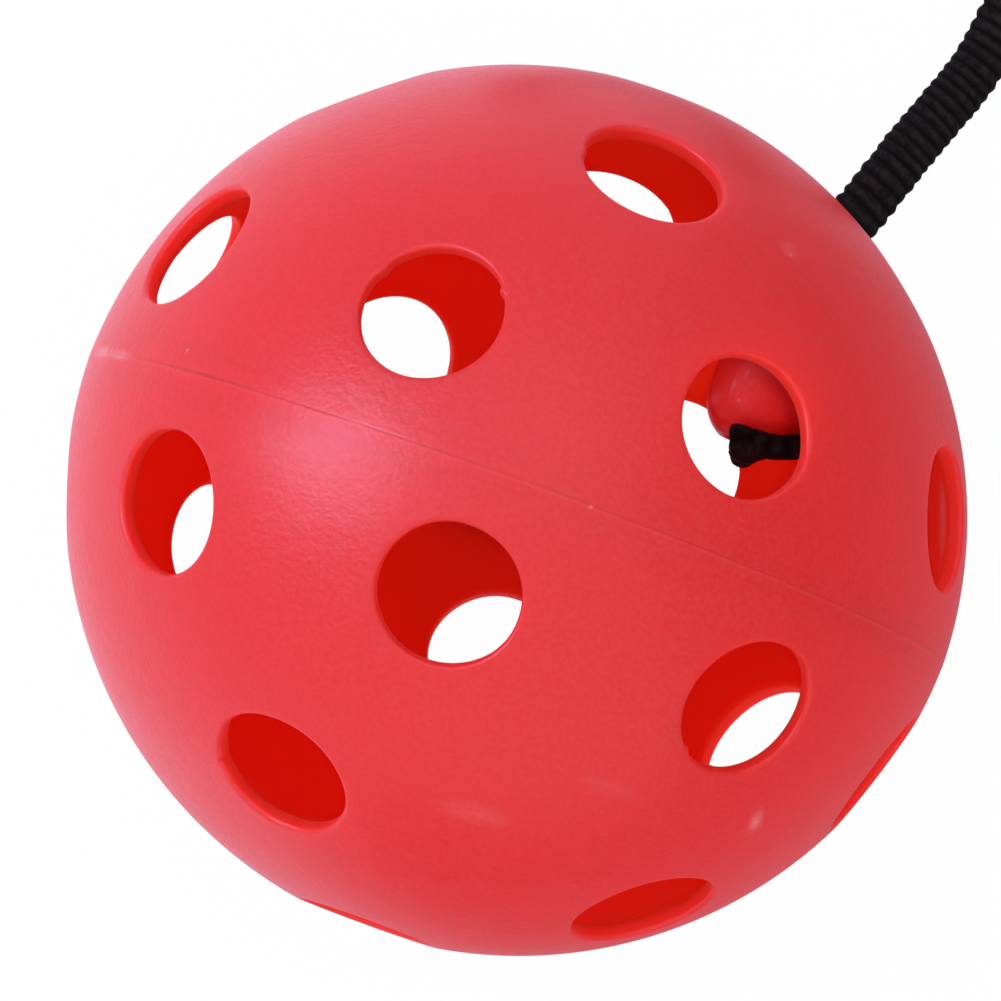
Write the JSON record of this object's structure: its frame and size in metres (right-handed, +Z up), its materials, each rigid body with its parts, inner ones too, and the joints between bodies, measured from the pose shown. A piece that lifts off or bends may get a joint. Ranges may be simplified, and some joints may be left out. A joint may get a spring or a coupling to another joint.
{
  "type": "perforated ball on a cord",
  "caption": "Hollow perforated plastic practice ball, welded from two half shells, on a flat ribbed cord that a knot holds in a bore inside the ball.",
  "frame": {"origin": "point where the ball rests on the floor, under its centre, at the bottom centre of the ball's box", "axes": "+Z up, +Y along the ball's pole axis towards the half that holds the cord, +X to the right"},
  "size_m": [0.072, 0.1466, 0.072],
  "materials": {
    "ball_plastic": "moulded red polyethylene, satin, slightly waxy",
    "cord_webbing": "black ribbed woven webbing",
    "tie_elastic": "dark grey elastic"
  },
  "bodies": {
    "ball": {"upper_shell": "ball_plastic", "lower_shell": "ball_plastic", "cord_lead": "cord_webbing", "cord_coil": "cord_webbing", "cord_tie": "tie_elastic", "cord_end_knot": "cord_webbing"},
    "cord_inner": {"cord_tail": "cord_webbing", "cord_stopper": "cord_webbing"}
  },
  "joints": [
    {"name": "cord_slide", "type": "slide", "parent": "ball", "child": "cord_inner", "axis": [0, -1, 0], "range_m": [0, 0.008]}
  ]
}
